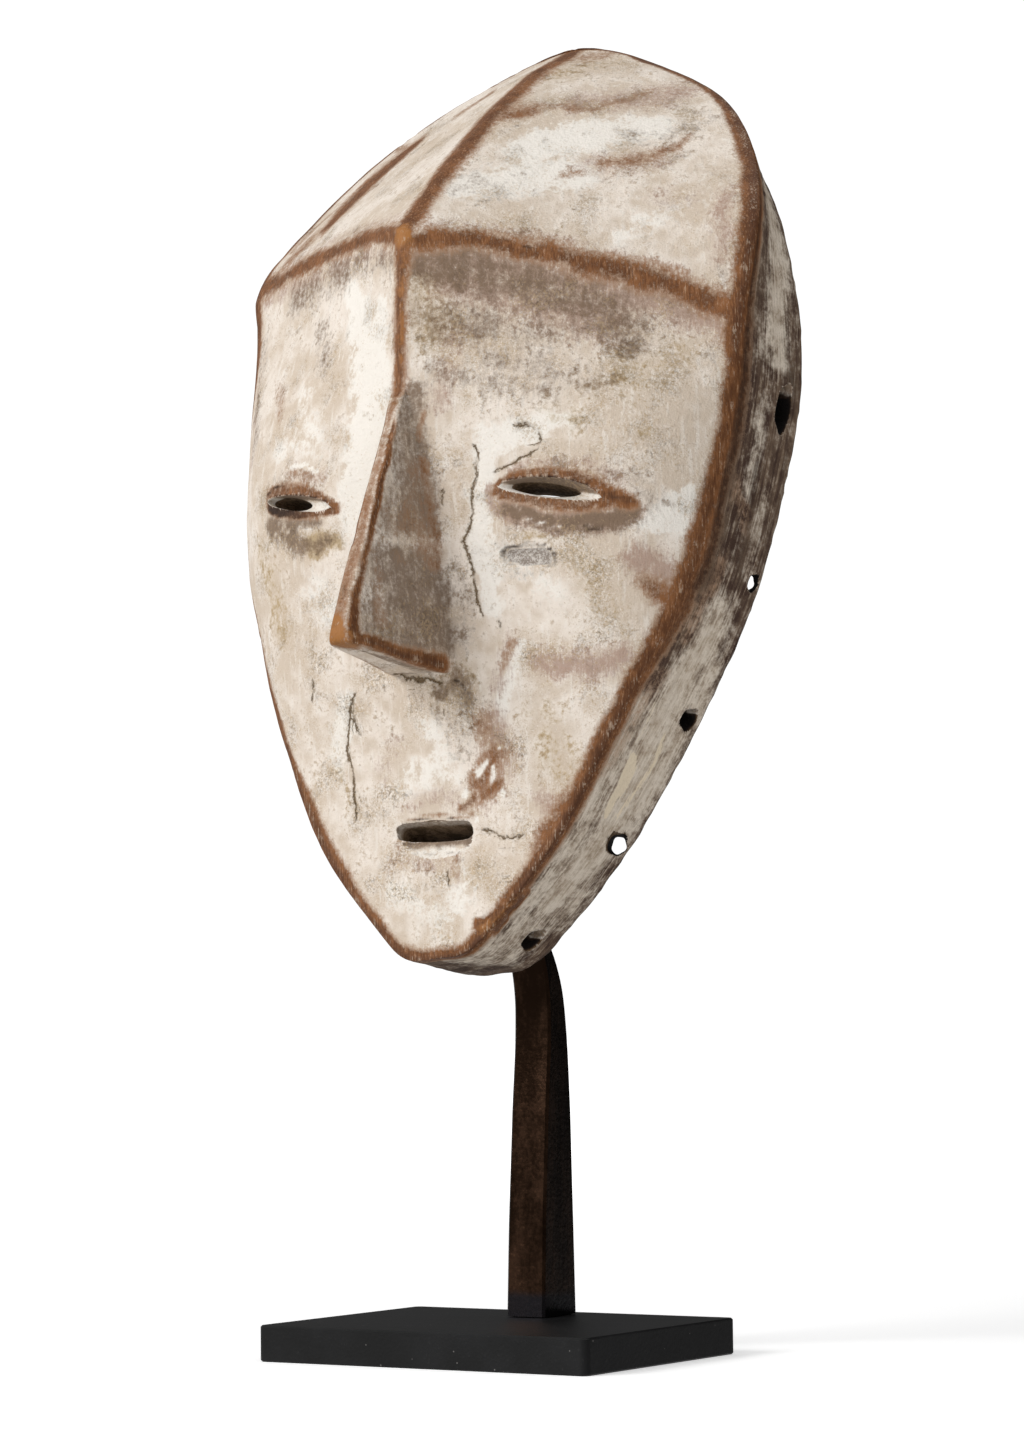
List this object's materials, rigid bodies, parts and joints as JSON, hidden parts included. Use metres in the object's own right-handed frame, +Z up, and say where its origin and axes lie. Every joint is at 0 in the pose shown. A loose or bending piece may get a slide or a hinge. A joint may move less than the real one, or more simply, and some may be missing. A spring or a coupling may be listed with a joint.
{
  "type": "carved wooden face mask on a metal stand",
  "caption": "Tall whitened wooden face mask with a wedge forehead, long triangular nose and hollow back, held up by a bent bar on a flat plate.",
  "frame": {"origin": "middle of the base plate's underside", "axes": "+Z up, the mask looks towards -Y, and +X is on the right of someone facing the mask"},
  "size_m": [0.1872, 0.141, 0.414],
  "materials": {
    "whitened_wood": "dry chalky white clay rubbed over brown wood, worn through to polished brown along every edge",
    "bar_metal": "dark brown patina, mottled, low sheen",
    "plate_metal": "satin charcoal black"
  },
  "bodies": {
    "root": {"mask": "whitened_wood", "stand_bar": "bar_metal", "base_plate": "plate_metal"}
  },
  "joints": []
}
